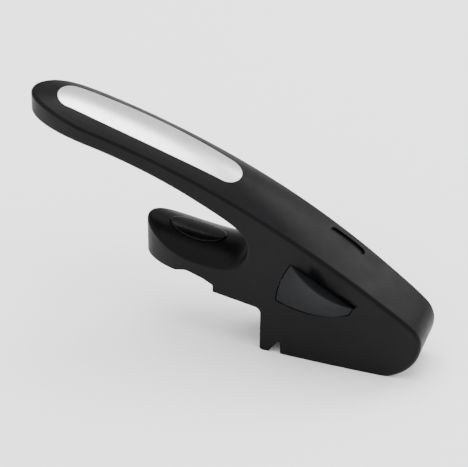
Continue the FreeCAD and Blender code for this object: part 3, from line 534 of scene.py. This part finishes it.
class CANOPENER_OT_cutting_parts(bpy.types.Operator):
    """Finishes the wheels, the carriage and its guides, the gear frame and the springs"""
    bl_idname = "canopener.cutting_parts"
    bl_label = "Cutting parts"

    def execute(self, context):
        for node in ("traction_wheel", "cutter_wheel"):
            dress(node, turned(node + "_steel", (0.62, 0.63, 0.65), 0.20, axis_of(node)))
        dress("cutter_carriage", plated("zinc_casting", (0.42, 0.42, 0.44), 0.42, 260.0, 0.00002))
        steel = plated("plated_steel", (0.48, 0.49, 0.50), 0.32)
        for node in ("guide_bracket", "release_tongue", "release_arm", "lower_plate",
                     "upper_plate", "plate_posts", "plate_screws", "board_screws",
                     "output_gear"):
            dress(node, steel)
        rods = brushed("ground_rods", (0.55, 0.56, 0.57), 0.22)
        for node in ("guide_rods", "lever_pin"):
            dress(node, rods)
        wire = brushed("spring_wire", (0.40, 0.40, 0.42), 0.28, "Z", 2500.0)
        for node in ("carriage_springs", "lever_spring", "button_springs"):
            dress(node, wire)
        return {"FINISHED"}


class CANOPENER_OT_gear_train(bpy.types.Operator):
    """Finishes the gears, spindle, bushes and motor"""
    bl_idname = "canopener.gear_train"
    bl_label = "Gear train and motor"

    def execute(self, context):
        nylon = moulded("gear_nylon", (0.70, 0.68, 0.62), 0.42, grain=700.0, depth=0.00001)
        for node in ("first_gear", "second_gear", "idler_gear"):
            dress(node, nylon)
        for node, colour, roughness in (
                ("drive_spindle", (0.55, 0.56, 0.58), 0.22),
                ("motor_shaft", (0.60, 0.61, 0.62), 0.20),
                ("cutter_axle", (0.55, 0.56, 0.58), 0.24),
                ("motor_pinion", (0.66, 0.50, 0.22), 0.28)):
            dress(node, turned(node + "_turned", colour, roughness, axis_of(node)))
        dress("spindle_bushes", plated("bronze_bush", (0.45, 0.30, 0.14), 0.40, 900.0))
        dress("gear_axles", brushed("ground_axles", (0.55, 0.56, 0.57), 0.24, "Z"))
        dress("motor_case", brushed("motor_steel", (0.50, 0.50, 0.48), 0.34, "Z", 1500.0))
        dress("motor_pad", moulded("rubber_pad", (0.015, 0.015, 0.015), 0.8, grain=900.0))
        return {"FINISHED"}


class CANOPENER_OT_power(bpy.types.Operator):
    """Finishes the cells, contacts, switch and its board"""
    bl_idname = "canopener.power"
    bl_label = "Cells and switch"

    def execute(self, context):
        sleeve = Finish("cell_sleeve")
        where = sleeve.mapped()
        bands = sleeve.add("ShaderNodeTexWave", wave_type="BANDS", bands_direction="X")
        bands.inputs["Scale"].default_value = 9.0
        sleeve.link(where, bands.inputs["Vector"])
        sleeve.tinted(bands.outputs["Fac"], (0.05, 0.07, 0.10), (0.42, 0.43, 0.45))
        sleeve.rough(sleeve.noise(where, 200.0), 0.18, 0.28)
        sleeve.fixed(Coat_Weight=0.4, Coat_Roughness=0.1)
        for node in ("battery_cell_1", "battery_cell_2"):
            dress(node, sleeve.material)
        dress("contact_plates", plated("nickel_contacts", (0.60, 0.56, 0.48), 0.28))
        board = Finish("lacquered_board")
        where = board.mapped()
        traces = board.add("ShaderNodeTexBrick")
        traces.inputs["Scale"].default_value = 350.0
        board.link(where, traces.inputs["Vector"])
        board.tinted(traces.outputs["Fac"], (0.010, 0.060, 0.022), (0.030, 0.130, 0.050))
        board.rough(board.noise(where, 500.0), 0.22, 0.34)
        board.raised(traces.outputs["Fac"], 0.00002)
        dress("switch_board", board.material)
        dress("start_switch", moulded("switch_black", (0.02, 0.02, 0.02), 0.4))
        return {"FINISHED"}


class CANOPENER_OT_stage(bpy.types.Operator):
    """Lays the pale floor, hangs the soft lights and sets the camera"""
    bl_idname = "canopener.stage"
    bl_label = "Studio"

    def execute(self, context):
        studio = context.scene.canopener_studio
        self.floor(studio)
        self.world()
        for lamp in LAMPS:
            self.lamp(*lamp)
        self.camera(studio)
        return {"FINISHED"}

    def floor(self, studio):
        finish = Finish("pale_floor")
        where = finish.mapped()
        colour = tuple(studio.floor_colour)
        finish.tinted(finish.noise(where, 3.0), toned(colour, 0.995), toned(colour, 1.005))
        finish.rough(finish.noise(where, 30.0), 0.65, 0.75)
        level = CAD_BOX[0].z - FLOOR_DROP
        signs = ((-1, -1), (1, -1), (1, 1), (-1, 1))
        corners = [(x * FLOOR_REACH, y * FLOOR_REACH, level) for x, y in signs]
        new_piece("studio_floor", corners, [(0, 1, 2, 3)], finish.material)

    def world(self):
        world = bpy.data.worlds.new("soft_studio")
        bpy.context.scene.world = world
        world.use_nodes = True
        background = world.node_tree.nodes["Background"]
        background.inputs["Color"].default_value = (1, 1, 1, 1)
        background.inputs["Strength"].default_value = WORLD_STRENGTH

    def lamp(self, name, place, size, power):
        light = bpy.data.lights.new(name, "AREA")
        light.shape = "SQUARE"
        light.size = size
        light.energy = power
        lamp = bpy.data.objects.new(name, light)
        bpy.context.scene.collection.objects.link(lamp)
        lamp.location = place
        middle = (CAD_BOX[0] + CAD_BOX[1]) / 2
        lamp.rotation_mode = "QUATERNION"
        lamp.rotation_quaternion = (middle - Vector(place)).to_track_quat("-Z", "Y")

    def camera(self, studio):
        a, e = studio.azimuth, studio.elevation
        right = Vector((math.cos(a), math.sin(a), 0))
        back = Vector((math.sin(a) * math.cos(e), -math.cos(a) * math.cos(e), math.sin(e)))
        up = back.cross(right)
        # the base's front corner beside the notch, seen right of and below the view's middle
        mark = Vector(MARK)
        target = mark - right * MARK_RIGHT + up * MARK_BELOW
        data = bpy.data.cameras.new("view")
        data.sensor_width = SENSOR_WIDTH
        data.lens = data.sensor_width * studio.distance / studio.view_width
        data.clip_start = 0.05
        data.clip_end = 20.0
        camera = bpy.data.objects.new("view", data)
        bpy.context.scene.collection.objects.link(camera)
        camera.rotation_mode = "QUATERNION"
        camera.location = target + back * studio.distance
        camera.rotation_quaternion = (-back).to_track_quat("-Z", "Y")
        bpy.context.scene.camera = camera


class CANOPENER_PT_panel(bpy.types.Panel):
    """Buttons for every group of pieces"""
    bl_label = "Can Opener"
    bl_idname = "CANOPENER_PT_panel"
    bl_space_type = "VIEW_3D"
    bl_region_type = "UI"
    bl_category = "Can Opener"

    def draw(self, context):
        scene = context.scene
        for settings in SETTINGS:
            group = getattr(scene, settings)
            box = self.layout.box()
            for name in group.__annotations__:
                box.prop(group, name)
        for operator in OPERATORS:
            self.layout.operator(operator.bl_idname)


SETTINGS = {"canopener_shell": CanOpenerShell, "canopener_metal": CanOpenerMetal,
            "canopener_trim": CanOpenerTrim, "canopener_studio": CanOpenerStudio}
OPERATORS = (CANOPENER_OT_shell, CANOPENER_OT_lever, CANOPENER_OT_inlay, CANOPENER_OT_start_button,
             CANOPENER_OT_cover_ribs, CANOPENER_OT_cover_screws, CANOPENER_OT_cutting_parts,
             CANOPENER_OT_gear_train, CANOPENER_OT_power, CANOPENER_OT_stage)


def register():
    for name, group in SETTINGS.items():
        bpy.utils.register_class(group)
        setattr(bpy.types.Scene, name, bpy.props.PointerProperty(type=group))
    for made in OPERATORS + (CANOPENER_PT_panel,):
        bpy.utils.register_class(made)


def unregister():
    for made in (CANOPENER_PT_panel,) + OPERATORS[::-1]:
        bpy.utils.unregister_class(made)
    for name, group in SETTINGS.items():
        delattr(bpy.types.Scene, name)
        bpy.utils.unregister_class(group)


def main():
    register()
    bpy.ops.canopener.shell()
    bpy.ops.canopener.lever()
    bpy.ops.canopener.inlay()
    bpy.ops.canopener.start_button()
    bpy.ops.canopener.cover_ribs()
    bpy.ops.canopener.cover_screws()
    bpy.ops.canopener.cutting_parts()
    bpy.ops.canopener.gear_train()
    bpy.ops.canopener.power()
    bpy.ops.canopener.stage()


if __name__ == "__main__":
    main()
